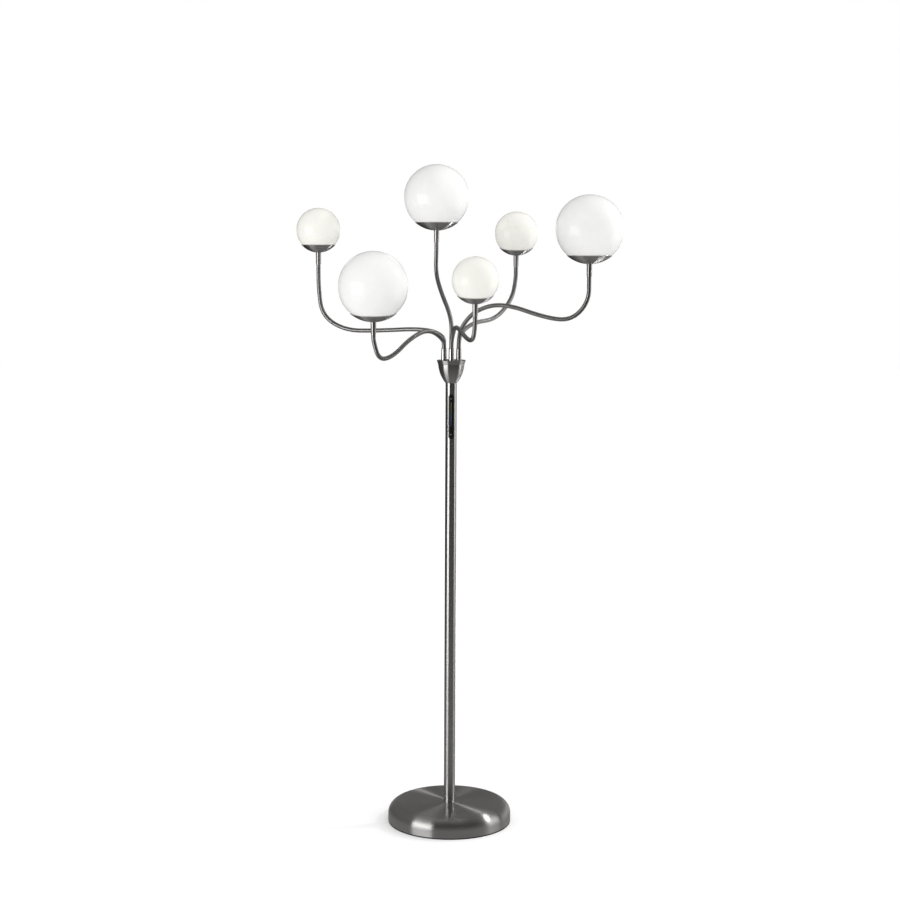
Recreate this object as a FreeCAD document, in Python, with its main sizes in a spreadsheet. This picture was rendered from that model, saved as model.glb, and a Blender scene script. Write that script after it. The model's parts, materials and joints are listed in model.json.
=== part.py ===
import FreeCAD, Part
import math
import os
import re
import Sketcher

# Tree floor lamp: a weighted round base, one straight pole with a touch strip, a bell-shaped cup,
# and six flexible goosenecks that carry three large and three small opal globes.
#
# Millimetres.  +Z is up, the front of the lamp looks along -Y, and the origin is the centre of the
# base pad's underside, on the floor.

Vector = FreeCAD.Vector
Placement = FreeCAD.Placement
Rotation = FreeCAD.Rotation

document = FreeCAD.newDocument("tree_floor_lamp")

# ---------------------------------------------------------------------------------------------
# Driving sizes: name, millimetres or degrees, what it measures
# ---------------------------------------------------------------------------------------------
SIZES = [
    ("base_outer", 279.4, "outside of the base's wall, across"),
    ("base_wall", 19.0, "floor to the top of the base's upright wall"),
    ("base_shoulder", 26.0, "radius of the base's rolled shoulder"),
    ("base_skin", 1.2, "sheet of the stamped base cover"),
    ("pad_inset", 0.5, "how far the foam pad's edge lies inside the base's wall"),
    ("pad_thick", 3.0, "foam pad's thickness"),
    ("weight_gap", 6.5, "gap between the cast weight and the cover's wall"),
    ("weight_height", 18.0, "cast weight's disc, without its hub"),
    ("hub_wall", 6.0, "wall of the hub that holds the cover up"),
    ("weight_chamfer", 3.0, "bevel round the weight's upper edge"),
    ("recess_room", 3.0, "gap round the washer in the recess under the weight"),
    ("recess_height", 26.0, "floor to the ceiling of that recess"),
    ("inlet_hole", 8.0, "hole for the cord inlet in the base's wall, across"),
    ("inlet_height", 11.0, "floor to the middle of the cord inlet"),
    ("inlet_bore", 5.5, "way through the inlet bush, across"),
    ("inlet_lip", 1.5, "how far the inlet bush's flanges reach past its hole"),
    ("inlet_flange_thick", 2.0, "thickness of each of those flanges"),
    ("pole_outer", 25.4, "pole, across"),
    ("pole_wall", 1.2, "pole's wall"),
    ("plug_height", 14.0, "threaded plug welded into a pole end"),
    ("lower_length", 320.0, "pole's lower section"),
    ("middle_length", 320.0, "pole's middle section"),
    ("upper_length", 319.5, "pole's upper section"),
    ("coupler_height", 40.0, "threaded coupler inside a pole joint"),
    ("coupler_gap", 0.5, "gap round the leads in a coupler"),
    ("nipple_outer", 10.0, "threaded nipple, across"),
    ("nipple_bore", 6.6, "way for the leads through a nipple, across"),
    ("nipple_grip", 7.0, "nipple's thread inside the pole's foot"),
    ("nipple_shows", 1.2, "thread that stands out of its nut"),
    ("washer_inset", 1.7, "how far a washer's edge lies inside the pole's outside"),
    ("washer_thick", 1.8, "flat washer's thickness"),
    ("nipple_nut_size", 16.0, "nipple's hexagon nut, across flats"),
    ("nipple_nut_height", 7.0, "nipple's nut, height"),
    ("harness_gap", 0.3, "gap round the bundle of leads in a nipple"),
    ("harness_low", 18.0, "floor to the bundle's lower end"),
    ("harness_clear", 13.5, "bundle's upper end to the arm studs above it"),
    ("strip_width", 12.0, "touch strip, across"),
    ("strip_length", 100.0, "touch strip, end to end"),
    ("strip_drop", 74.5, "middle of the touch strip to the pole's upper end"),
    ("strip_thick", 3.0, "touch strip's lens, front to back"),
    ("strip_proud", 0.3, "how far the lens stands out of the pole"),
    ("strip_fit", 0.15, "gap all round the lens in its slot"),
    ("board_side", 1.0, "touch strip's side to its board's side"),
    ("board_end", 4.0, "touch strip's end to its board's end"),
    ("board_thick", 1.6, "every circuit board's thickness"),
    ("board_gap", 0.25, "gap between the lens and its board"),
    ("cup_step", 0.2, "how far the cup's underside reaches past the pole"),
    ("cup_height", 51.0, "cup, foot to rim"),
    ("cup_room", 2.6, "an arm nut's flat to the cup's wall"),
    ("cup_flare", 2.95, "how far the flare above the cup's shoulder opens"),
    ("cup_flare_height", 9.5, "height of that flare"),
    ("cup_curve", 74.0, "radius of the cup's side curve"),
    ("cup_wall", 1.2, "cup's sheet"),
    ("cup_floor", 2.0, "cup's floor thickness"),
    ("cup_lip", 0.9, "rounding of the cup's rim"),
    ("plate_drop", 1.5, "cup's rim to the top of its plate"),
    ("plate_thick", 2.0, "plate that closes the cup"),
    ("plate_fit", 0.15, "gap between the plate and the cup"),
    ("root_ring", 19.0, "radius of the ring of six arm roots"),
    ("stud_outer", 8.0, "threaded stud of a gooseneck sleeve, across"),
    ("stud_fit", 0.1, "gap round a stud in its hole"),
    ("root_stud", 8.0, "stud below the cup's plate"),
    ("root_nut_size", 13.0, "arm nut, across flats"),
    ("root_nut_height", 5.0, "arm nut, height"),
    ("sleeve_length", 27.0, "sleeve on each end of a gooseneck"),
    ("sleeve_wall", 0.82, "sleeve's wall at its open end"),
    ("sleeve_taper", 0.4, "how much thicker that wall is at the sleeve's seat"),
    ("sleeve_floor", 7.0, "solid end of a sleeve"),
    ("wire_way", 4.0, "way for the leads through a sleeve, across"),
    ("tube_outer", 9.6, "gooseneck, across"),
    ("tube_bore", 5.0, "gooseneck's bore, across"),
    ("tube_fit", 0.08, "gap round a gooseneck in its sleeve"),
    ("tube_end_gap", 0.3, "gap between a gooseneck's end and its sleeve's floor"),
    ("cap_wall", 1.0, "spun cap's sheet"),
    ("seat_rim", 0.9, "flat seat under a cap that shows round its sleeve"),
    ("glass_fit", 0.3, "gap between a globe and its cap"),
    ("glass_wall", 2.2, "globe's wall"),
    ("head_stud", 9.0, "stud inside a cap"),
    ("mount_flange", 3.0, "foot of a light mount, thickness"),
    ("mount_stem", 16.0, "stem of a light mount, across"),
    ("board_rim", 0.5, "edge of a light mount's top that shows round its board"),
    ("mount_table", 3.0, "top of a light mount, thickness"),
    ("chip_size", 5.0, "light chip, along each side"),
    ("chip_height", 1.2, "light chip's height"),
    ("large_globe", 150.0, "large globe, across"),
    ("large_neck", 66.0, "large globe's opening, across"),
    ("large_cap_angle", 40.5, "large cap's half angle, seen from the globe's centre"),
    ("large_mount_foot", 34.0, "large light mount's foot, across"),
    ("large_mount_gap", 5.0, "gap round the large light mount's top in the globe's opening"),
    ("large_mount_height", 20.0, "large light mount, height"),
    ("small_globe", 100.0, "small globe, across"),
    ("small_neck", 44.0, "small globe's opening, across"),
    ("small_cap_angle", 48.5, "small cap's half angle, seen from the globe's centre"),
    ("small_mount_foot", 26.0, "small light mount's foot, across"),
    ("small_mount_gap", 4.0, "gap round the small light mount's top in the globe's opening"),
    ("small_mount_height", 15.0, "small light mount, height"),
]
CHIPS = 8

# Sizes and places that follow from those
FOLLOWS = {
    "base_height": "(base_wall + base_shoulder)",
    "pad_outer": "(base_outer - 2 * pad_inset)",
    "weight_outer": "(base_outer - 2 * base_skin - 2 * weight_gap)",
    "washer_outer": "(pole_outer - 2 * washer_inset)",
    "recess_outer": "(washer_outer + 2 * recess_room)",
    "weight_hub": "(recess_outer + 2 * hub_wall)",
    "inlet_flange": "(inlet_hole + 2 * inlet_lip)",
    "lower_seam": "(base_height + lower_length)",
    "upper_seam": "(lower_seam + middle_length)",
    "cup_foot": "(upper_seam + upper_length)",
    "nipple_foot": "(recess_height - washer_thick - nipple_nut_height - nipple_shows)",
    "nipple_length": "(base_height + nipple_grip - nipple_foot)",
    "harness_outer": "(nipple_bore - 2 * harness_gap)",
    "coupler_bore": "(harness_outer + 2 * coupler_gap)",
    "strip_middle": "(cup_foot - strip_drop)",
    "board_width": "(strip_width - 2 * board_side)",
    "board_length": "(strip_length - 2 * board_end)",
    "cup_foot_outer": "(pole_outer + 2 * cup_step)",
    "cup_shoulder_outer": "(2 * (root_ring + root_nut_size / 2 + cup_room + cup_wall))",
    "cup_rim_outer": "(cup_shoulder_outer + 2 * cup_flare)",
    "cup_shoulder_height": "(cup_height - cup_flare_height)",
    "plate_level": "(cup_height - plate_drop)",
    "harness_spare": "(plate_level - plate_thick - root_stud - harness_clear)",
    "sleeve_narrow": "(tube_outer + 2 * tube_fit + 2 * sleeve_wall)",
    "sleeve_wide": "(sleeve_narrow + 2 * sleeve_taper)",
    "cap_flat": "(sleeve_wide + 2 * seat_rim)",
    "large_mount_top": "(large_neck - 2 * large_mount_gap)",
    "small_mount_top": "(small_neck - 2 * small_mount_gap)",
}

# The six arms.  root: bearing of the arm's root on the ring, in degrees from +X.  heading: bearing
# of the upright plane that the arm is bent in.  lean: how far the head leans to the front.  neck:
# straight length under the cap.  Every bend and the end are (reach from the root, rise above the
# cup's plate) in millimetres, chosen by hand as a person bends a gooseneck.
ARMS = {
    "left": {
        "globe": "small", "root": 150.0, "heading": 157.2, "lean": 0.0, "neck": 78.0,
        "bends": [(0, 56), (50, 70), (165, 62), (246, 61), (304, 94)], "end": (312, 237),
    },
    "front_left": {
        "globe": "large", "root": 210.0, "heading": 223.1, "lean": 6.5, "neck": 42.0,
        "bends": [(0, 48), (46, 73), (100, 54), (150, 16), (190, 10)], "end": (206, 93),
    },
    "top": {
        "globe": "large", "root": 90.0, "heading": 103.1, "lean": 0.0, "neck": 46.0,
        "bends": [(0, 40), (-3, 94), (112, 151), (162, 192)], "end": (155, 288),
    },
    "front": {
        "globe": "small", "root": 270.0, "heading": 287.9, "lean": 8.0, "neck": 50.0,
        "bends": [(0, 42), (12, 64), (34, 82), (110, 54), (150, 54)], "end": (163, 133),
    },
    "right": {
        "globe": "large", "root": 330.0, "heading": 351.9, "lean": 0.0, "neck": 82.0,
        "bends": [(0, 44), (4, 74), (36, 113), (97, 130), (195, 97), (250, 93)], "end": (287, 216),
    },
    "back_right": {
        "globe": "small", "root": 30.0, "heading": 55.2, "lean": 9.0, "neck": 58.0,
        "bends": [(0, 40), (7, 62), (60, 83), (148, 86), (216, 129)], "end": (233, 232),
    },
}
BEND_SHARE = 0.48   # part of a run that the bend at each of its ends may use
BEND_MARGIN = 1.0   # straight gooseneck left outside a sleeve, millimetres

# ---------------------------------------------------------------------------------------------
# The sheet of sizes, and names bound to it
# ---------------------------------------------------------------------------------------------
sheet = document.addObject("Spreadsheet::Sheet", "Sizes")
for row, (name, value, meaning) in enumerate(SIZES, start=1):
    sheet.set(f"A{row}", meaning)
    sheet.set(f"B{row}", str(value))
    sheet.setAlias(f"B{row}", name)
document.recompute()
NAMES = {name for name, _, _ in SIZES}


def bound(formula):
    """The formula with what follows written out, and every driving size's name pointing at the sheet."""
    def point(word):
        if word[0] in FOLLOWS:
            return bound(FOLLOWS[word[0]])
        return f"Sizes.{word[0]}" if word[0] in NAMES else word[0]

    return re.sub(r"[a-z_]+", point, formula)


def number(formula):
    """What the formula comes to with the sizes in the sheet."""
    return float(sheet.evalExpression(bound(formula)))


def bind(thing, **formulas):
    """Bind properties of an object to formulas on the sheet."""
    for name, formula in formulas.items():
        thing.setExpression(name.replace("__", "."), bound(formula))


# ---------------------------------------------------------------------------------------------
# Ways of making a piece
# ---------------------------------------------------------------------------------------------
nodes = []


def node(thing, label):
    """Give a finished sub-part its label, which names its file."""
    thing.Label = label
    nodes.append(thing)
    return thing


def sketch_in(body, name, role):
    """A sketch on one of the body's own origin planes."""
    sketch = body.newObject("Sketcher::SketchObject", name)
    plane = next(f for f in body.Origin.OriginFeatures if f.Role == role)
    sketch.AttachmentSupport = [(plane, "")]
    sketch.MapMode = "FlatFace"
    return sketch


def hold_point(sketch, line, point, across, up):
    """Fix a point of the sketch at two bound distances from its origin."""
    for kind, axis, formula in (("DistanceX", -2, across), ("DistanceY", -1, up)):
        value = number(formula)
        if abs(value) < 1e-9:
            sketch.addConstraint(Sketcher.Constraint("PointOnObject", line, point, axis))
            continue
        held = sketch.addConstraint(Sketcher.Constraint(kind, -1, 1, line, point, value))
        sketch.setExpression(f"Constraints[{held}]", bound(formula))


def arc_between(start, end, radius, turn):
    """The shorter arc from start to end; turn is +1 anticlockwise and -1 clockwise."""
    half = (end - start) * 0.5
    left = Vector(-half.y, half.x, 0).normalize()
    centre = start + half + left * turn * math.sqrt(radius ** 2 - half.Length ** 2)
    first, last = (start, end) if turn > 0 else (end, start)
    begin = math.atan2(first.y - centre.y, first.x - centre.x)
    finish = math.atan2(last.y - centre.y, last.x - centre.x)
    if finish < begin:
        finish += 2 * math.pi
    return Part.ArcOfCircle(Part.Circle(centre, Vector(0, 0, 1), radius), begin, finish)


def turned(name, outline):
    """A body turned about its own +Z from a closed outline of (radius, height) corners.

    A corner may end with (radius of an arc, +1 or -1), and then an arc leads on to the next one.
    """
    body = document.addObject("PartDesign::Body", name)
    sketch = sketch_in(body, f"{name}_outline", "XZ_Plane")
    places = [Vector(number(corner[0]), number(corner[1]), 0) for corner in outline]
    ends = []
    for index, corner in enumerate(outline):
        start, end = places[index], places[(index + 1) % len(places)]
        if len(corner) == 2:
            line = sketch.addGeometry(Part.LineSegment(start, end))
            ends.append((line, 1, 2))
            continue
        formula, turn = corner[2]
        line = sketch.addGeometry(arc_between(start, end, number(formula), turn))
        ends.append((line, 1, 2) if turn > 0 else (line, 2, 1))
        held = sketch.addConstraint(Sketcher.Constraint("Radius", line, number(formula)))
        sketch.setExpression(f"Constraints[{held}]", bound(formula))
    for index, corner in enumerate(outline):
        line, first, _ = ends[index]
        before, _, last = ends[index - 1]
        sketch.addConstraint(Sketcher.Constraint("Coincident", before, last, line, first))
        hold_point(sketch, line, first, corner[0], corner[1])
    turning = body.newObject("PartDesign::Revolution", f"{name}_turned")
    turning.Profile = sketch
    turning.ReferenceAxis = (sketch, ["V_Axis"])
    turning.Angle = 360.0
    return body


def padded(name, diameter, height, lift="0"):
    """A body padded up from one circle, its foot lifted to a height."""
    body = document.addObject("PartDesign::Body", name)
    sketch = sketch_in(body, f"{name}_round", "XY_Plane")
    bind(sketch, AttachmentOffset__Base__z=lift)
    circle = sketch.addGeometry(Part.Circle(Vector(), Vector(0, 0, 1), number(diameter) / 2))
    sketch.addConstraint(Sketcher.Constraint("Coincident", circle, 3, -1, 1))
    held = sketch.addConstraint(Sketcher.Constraint("Diameter", circle, number(diameter)))
    sketch.setExpression(f"Constraints[{held}]", bound(diameter))
    pad = body.newObject("PartDesign::Pad", f"{name}_pad")
    pad.Profile = sketch
    bind(pad, Length=height)
    return body


def round_holes(body, name, diameter, ring, count, depth):
    """Holes cut down from the top of a padded body, evenly spaced on a ring."""
    sketch = sketch_in(body, f"{name}_centre", "XY_Plane")
    bind(sketch, AttachmentOffset__Base__z=depth)
    centre = Vector(0, number(ring), 0)
    circle = sketch.addGeometry(Part.Circle(centre, Vector(0, 0, 1), number(diameter) / 2))
    sketch.addConstraint(Sketcher.Constraint("PointOnObject", circle, 3, -2))
    for kind, formula in (("Diameter", diameter), ("DistanceY", ring)):
        where = (circle, number(formula)) if kind == "Diameter" else (-1, 1, circle, 3, number(formula))
        held = sketch.addConstraint(Sketcher.Constraint(kind, *where))
        sketch.setExpression(f"Constraints[{held}]", bound(formula))
    pocket = body.newObject("PartDesign::Pocket", f"{name}_pocket")
    pocket.Profile = sketch
    pocket.Type = "ThroughAll"
    pocket.Midplane = True
    pattern = body.newObject("PartDesign::PolarPattern", f"{name}_ring")
    pattern.Originals = [pocket]
    pattern.Axis = (sketch, ["N_Axis"])
    pattern.Angle = 360.0
    pattern.Occurrences = count
    body.Tip = pattern
    return body


def cylinder(name, diameter, height, at=("0", "0", "0"), turn=None):
    """A round bar with bound sizes; at is the centre of its foot."""
    bar = document.addObject("Part::Cylinder", name)
    if turn is not None:
        bar.Placement = Placement(Vector(), turn)
    bind(bar, Radius=f"({diameter}) / 2", Height=height)
    bind(bar, Placement__Base__x=at[0], Placement__Base__y=at[1], Placement__Base__z=at[2])
    return bar


def box(name, size, at):
    """A block with bound sizes; at is its lowest corner."""
    block = document.addObject("Part::Box", name)
    bind(block, Length=size[0], Width=size[1], Height=size[2])
    bind(block, Placement__Base__x=at[0], Placement__Base__y=at[1], Placement__Base__z=at[2])
    return block


def cut(name, base, tool):
    """base with tool taken away."""
    result = document.addObject("Part::Cut", name)
    result.Base = base
    result.Tool = tool
    return result


def hex_nut(name, size, height, bore, at):
    """A hexagon nut standing on its foot."""
    blank = document.addObject("Part::Prism", f"{name}_blank")
    blank.Polygon = 6
    bind(blank, Circumradius=f"{size} / 2 / cos(30 deg)", Height=height)
    hole = cylinder(f"{name}_hole", bore, height)
    nut = cut(name, blank, hole)
    bind(nut, Placement__Base__x=at[0], Placement__Base__y=at[1], Placement__Base__z=at[2])
    return nut


def ring(name, outer, bore, height, at):
    """A plain ring standing on its foot."""
    result = cut(name, cylinder(f"{name}_disc", outer, height), cylinder(f"{name}_hole", bore, height))
    bind(result, Placement__Base__x=at[0], Placement__Base__y=at[1], Placement__Base__z=at[2])
    return result


def group(name, pieces):
    """Separate solids that share one node."""
    compound = document.addObject("Part::Compound", name)
    compound.Links = pieces
    return compound


def capsule(name, width, length, depth):
    """An upright bar with round ends, as wide as width, reaching from the axis to the front."""
    to_front = Rotation(Vector(1, 0, 0), 90)
    end_rise = f"({length} - ({width})) / 2"
    pieces = [
        box(f"{name}_middle", (width, depth, f"{length} - ({width})"),
            (f"-({width}) / 2", f"-({depth})", f"strip_middle - {end_rise}")),
        cylinder(f"{name}_top", width, depth, ("0", "0", f"strip_middle + {end_rise}"), to_front),
        cylinder(f"{name}_foot", width, depth, ("0", "0", f"strip_middle - {end_rise}"), to_front),
    ]
    whole = document.addObject("Part::MultiFuse", name)
    whole.Shapes = pieces
    return whole


# ---------------------------------------------------------------------------------------------
# The base: foam pad, cast weight, stamped cover and cord inlet
# ---------------------------------------------------------------------------------------------
def base_pad():
    node(padded("pad", "pad_outer", "pad_thick"), "base_pad")


def base_weight():
    """A disc with a hub: the hub's top holds the cover, and the nut sits in a recess below."""
    disc_top = "pad_thick + weight_height"
    hub_top = "base_height - base_skin"
    bore = "nipple_outer / 2 + stud_fit"
    node(turned("weight", [
        ("recess_outer / 2", "pad_thick"),
        ("weight_outer / 2", "pad_thick"),
        ("weight_outer / 2", f"{disc_top} - weight_chamfer"),
        ("weight_outer / 2 - weight_chamfer", disc_top),
        ("weight_hub / 2", disc_top),
        ("weight_hub / 2", hub_top),
        (bore, hub_top),
        (bore, "recess_height"),
        ("recess_outer / 2", "recess_height"),
    ]), "base_weight")


def base_shell():
    """The stamped cover: upright wall, rolled shoulder, flat top with a hole for the nipple."""
    bore = "nipple_outer / 2 + stud_fit"
    wall, inside = "base_outer / 2", "base_outer / 2 - base_skin"
    shoulder_foot = "base_height - base_shoulder"
    flat_edge = "base_outer / 2 - base_shoulder"
    blank = turned("shell_blank", [
        (inside, "pad_thick"),
        (wall, "pad_thick"),
        (wall, shoulder_foot, ("base_shoulder", 1)),
        (flat_edge, "base_height"),
        (bore, "base_height"),
        (bore, "base_height - base_skin"),
        (flat_edge, "base_height - base_skin", ("base_shoulder - base_skin", -1)),
        (inside, shoulder_foot),
    ])
    to_back = Rotation(Vector(1, 0, 0), -90)
    drill = cylinder("inlet_drill", "inlet_hole", "4 * base_skin",
                     ("0", "base_outer / 2 - 3 * base_skin", "inlet_height"), to_back)
    node(cut("shell", blank, drill), "base_shell")


def cord_inlet():
    """The rubber bush in the back of the cover; its groove grips the sheet."""
    flange, neck = "inlet_flange / 2", "inlet_hole / 2 - stud_fit"
    groove_end = "inlet_flange_thick + base_skin + 4 * stud_fit"
    outside = f"{groove_end} + inlet_flange_thick"
    bush = node(turned("inlet", [
        ("inlet_bore / 2", "0"),
        (flange, "0"),
        (flange, "inlet_flange_thick"),
        (neck, "inlet_flange_thick"),
        (neck, groove_end),
        (flange, groove_end, ("inlet_flange_thick", 1)),
        (f"{flange} - inlet_flange_thick / 2", outside),
        ("inlet_bore / 2", outside),
    ]), "cord_inlet_bush")
    bush.Placement = Placement(Vector(), Rotation(Vector(1, 0, 0), -90))
    bind(bush, Placement__Base__z="inlet_height",
         Placement__Base__y="base_outer / 2 - base_skin - 2.5 * stud_fit - inlet_flange_thick")


# ---------------------------------------------------------------------------------------------
# The pole, its joints and what is inside it
# ---------------------------------------------------------------------------------------------
def pole_sections():
    """Three tubes; the outer two have a plug that the nipples screw into."""
    outside, inside = "pole_outer / 2", "pole_outer / 2 - pole_wall"
    thread = "nipple_outer / 2"
    node(turned("lower_tube", [
        (thread, "base_height"),
        (outside, "base_height"),
        (outside, "lower_seam"),
        (inside, "lower_seam"),
        (inside, "base_height + plug_height"),
        (thread, "base_height + plug_height"),
    ]), "pole_lower")
    node(turned("middle_tube", [
        (inside, "lower_seam"),
        (outside, "lower_seam"),
        (outside, "upper_seam"),
        (inside, "upper_seam"),
    ]), "pole_middle")
    blank = turned("upper_tube", [
        (inside, "upper_seam"),
        (outside, "upper_seam"),
        (outside, "cup_foot"),
        (thread, "cup_foot"),
        (thread, "cup_foot - plug_height"),
        (inside, "cup_foot - plug_height"),
    ])
    slot = capsule("strip_slot", "strip_width", "strip_length", "pole_outer")
    node(cut("upper_tube_slotted", blank, slot), "pole_upper")


def pole_couplers():
    """Two threaded plugs, one across each joint of the pole."""
    outer = "pole_outer - 2 * pole_wall - stud_fit"
    seams = ("lower_seam", "upper_seam")
    pieces = [
        ring(f"coupler_{seam}", outer, "coupler_bore", "coupler_height",
             ("0", "0", f"{seam} - coupler_height / 2"))
        for seam in seams
    ]
    node(group("couplers", pieces), "pole_couplers")


def nipples_nuts_washers():
    """The pole is clamped to the base from below, and the cup to the pole from above."""
    base_foot = "nipple_foot + nipple_shows"
    cup_seat = "cup_foot + cup_floor"
    cup_top = f"{cup_seat} + washer_thick + nipple_nut_height"
    tubes = [
        ring("base_nipple", "nipple_outer", "nipple_bore", "nipple_length",
             ("0", "0", "nipple_foot")),
        ring("cup_nipple", "nipple_outer", "nipple_bore", "nipple_length",
             ("0", "0", f"{cup_top} + nipple_shows - nipple_length")),
    ]
    node(group("nipples", tubes), "threaded_nipples")
    nuts = [
        hex_nut("base_nut", "nipple_nut_size", "nipple_nut_height", "nipple_outer", ("0", "0", base_foot)),
        hex_nut("cup_nut", "nipple_nut_size", "nipple_nut_height", "nipple_outer",
                ("0", "0", f"{cup_seat} + washer_thick")),
    ]
    node(group("nuts", nuts), "nipple_nuts")
    bore = "nipple_outer + 2 * stud_fit"
    washers = [
        ring("base_washer", "washer_outer", bore, "washer_thick", ("0", "0", "recess_height - washer_thick")),
        ring("cup_washer", "washer_outer", bore, "washer_thick", ("0", "0", cup_seat)),
    ]
    node(group("washers", washers), "nipple_washers")


def wiring_harness():
    node(padded("harness", "harness_outer", "cup_foot + harness_spare - harness_low", "harness_low"),
         "wiring_harness")


def touch_strip():
    """A lens with round ends that follows the pole's curve, and the board behind it."""
    bar = capsule("strip_bar", "strip_width - 2 * strip_fit", "strip_length - 2 * strip_fit", "pole_outer")
    face = "pole_outer + 2 * strip_proud"
    skin = ring("strip_skin", face, f"{face} - 2 * strip_thick", "strip_length",
                ("0", "0", "strip_middle - strip_length / 2"))
    lens = document.addObject("Part::Common", "strip_lens")
    lens.Base = bar
    lens.Tool = skin
    node(lens, "touch_strip")
    lens_back = "sqrt((pole_outer / 2 + strip_proud - strip_thick)^2 - (board_width / 2)^2)"
    node(box("touch_circuit", ("board_width", "board_thick", "board_length"),
             ("-board_width / 2", f"-({lens_back}) + board_gap", "strip_middle - board_length / 2")),
         "touch_board")


# ---------------------------------------------------------------------------------------------
# The cup and the roots of the arms
# ---------------------------------------------------------------------------------------------
def arm_cup():
    """A bell: a curved side, a short flare and a rounded lip, with a floor on the pole's end."""
    shoulder, height = "cup_shoulder_outer / 2", "cup_shoulder_height"
    rim = "cup_rim_outer / 2"
    bore = "nipple_outer / 2 + stud_fit"
    cup = node(turned("cup", [
        (bore, "0"),
        ("cup_foot_outer / 2", "0", ("cup_curve", 1)),
        (shoulder, height),
        (rim, "cup_height - cup_lip", ("cup_lip", 1)),
        (f"{rim} - cup_lip", "cup_height"),
        (f"{shoulder} - cup_wall", height, ("cup_curve - cup_wall", -1)),
        ("cup_foot_outer / 2", "cup_floor"),
        (bore, "cup_floor"),
    ]), "arm_cup")
    bind(cup, Placement__Base__z="cup_foot")


def cup_plate():
    """The disc that closes the cup, with a ring of six holes; it rests in the flare."""
    flare_foot = "(cup_shoulder_outer / 2 - cup_wall)"
    flare_top = "(cup_rim_outer / 2 - cup_lip)"
    share = "(plate_level - plate_thick - cup_shoulder_height) / (cup_height - cup_shoulder_height)"
    radius = f"{flare_foot} + ({flare_top} - {flare_foot}) * {share} - plate_fit"
    plate = padded("plate", f"2 * ({radius})", "plate_thick")
    round_holes(plate, "root_hole", "stud_outer + 2 * stud_fit", "root_ring", len(ARMS), "plate_thick")
    node(plate, "cup_plate")
    bind(plate, Placement__Base__z="cup_foot + plate_level - plate_thick")


def root_place(arm, height):
    """Formulas for an arm's root on the ring, at a height."""
    bearing = f"({arm['root']} deg)"
    return (f"root_ring * cos{bearing}", f"root_ring * sin{bearing}", height)


def root_sleeves_and_nuts():
    """Each arm stands in a sleeve, whose stud goes through the plate into a nut."""
    seat = "root_stud + plate_thick"
    sleeves, nuts = [], []
    for name, arm in ARMS.items():
        sleeve = turned(f"{name}_root_sleeve", [
            ("wire_way / 2", "0"),
            ("stud_outer / 2", "0"),
            ("stud_outer / 2", seat),
            ("sleeve_wide / 2", seat),
            ("sleeve_narrow / 2", f"{seat} + sleeve_length"),
            ("tube_outer / 2 + tube_fit", f"{seat} + sleeve_length"),
            ("tube_outer / 2 + tube_fit", f"{seat} + sleeve_floor"),
            ("wire_way / 2", f"{seat} + sleeve_floor"),
        ])
        at = root_place(arm, f"cup_foot + plate_level - ({seat})")
        bind(sleeve, Placement__Base__x=at[0], Placement__Base__y=at[1], Placement__Base__z=at[2])
        sleeves.append(sleeve)
        underside = root_place(arm, "cup_foot + plate_level - plate_thick - root_nut_height")
        nuts.append(hex_nut(f"{name}_root_nut", "root_nut_size", "root_nut_height", "stud_outer", underside))
    node(group("sleeves", sleeves), "arm_root_sleeves")
    node(group("root_nuts", nuts), "arm_root_nuts")


# ---------------------------------------------------------------------------------------------
# The goosenecks
# ---------------------------------------------------------------------------------------------
def arm_corners(arm):
    """Corners of the gooseneck's middle line, from its root's sleeve to the foot of its cap."""
    seat = number("cup_foot + plate_level")
    root = Vector(*(number(formula) for formula in root_place(arm, f"{seat}")))
    heading = math.radians(arm["heading"])
    outward = Vector(math.cos(heading), math.sin(heading), 0)
    upward = Vector(0, 0, 1)
    lean = math.radians(arm["lean"])
    axis = Vector(0, -math.sin(lean), math.cos(lean))

    def place(bend):
        return root + outward * bend[0] + upward * bend[1]

    end = place(arm["end"])
    start = root + upward * number("sleeve_floor + tube_end_gap")
    corners = [start] + [place(bend) for bend in arm["bends"]] + [end - axis * arm["neck"]]
    corners.append(end - axis * number("sleeve_floor + tube_end_gap"))
    return corners, end, axis


def arm_route(name, arm):
    """The middle line as straight runs and tangent arcs, cut in two on the run before the last bend.

    Each arc is as large as its two runs allow.
    """
    corners, _, _ = arm_corners(arm)
    lengths = [(after - before).Length for before, after in zip(corners, corners[1:])]
    spare = [length * BEND_SHARE for length in lengths]
    in_sleeve = number("sleeve_length - sleeve_floor - tube_end_gap") + BEND_MARGIN
    spare[0] = lengths[0] - in_sleeve
    spare[-1] = lengths[-1] - in_sleeve
    halves = ([], [])
    half_at = len(corners) - 4   # the run that leads to the last bend
    previous, radii = corners[0], []
    for index in range(1, len(corners) - 1):
        corner = corners[index]
        back = (corners[index - 1] - corner).normalize()
        ahead = (corners[index + 1] - corner).normalize()
        reach = min(spare[index - 1], spare[index])
        turn = math.pi - back.getAngle(ahead)
        radius = reach / math.tan(turn / 2)
        inward = (back + ahead).normalize()
        middle = corner + inward * (math.hypot(radius, reach) - radius)
        begin, finish = corner + back * reach, corner + ahead * reach
        radii.append(radius)
        if index - 1 == half_at:
            halfway = (previous + begin) * 0.5
            halves[0].append(Part.LineSegment(previous, halfway).toShape())
            halves[1].append(Part.LineSegment(halfway, begin).toShape())
        else:
            halves[index - 1 > half_at].append(Part.LineSegment(previous, begin).toShape())
        halves[index - 1 >= half_at].append(Part.Arc(begin, middle, finish).toShape())
        previous = finish
    halves[1].append(Part.LineSegment(previous, corners[-1]).toShape())
    print(name, "bend radii", [round(radius) for radius in radii])
    return [Part.Wire(edges) for edges in halves]


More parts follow.
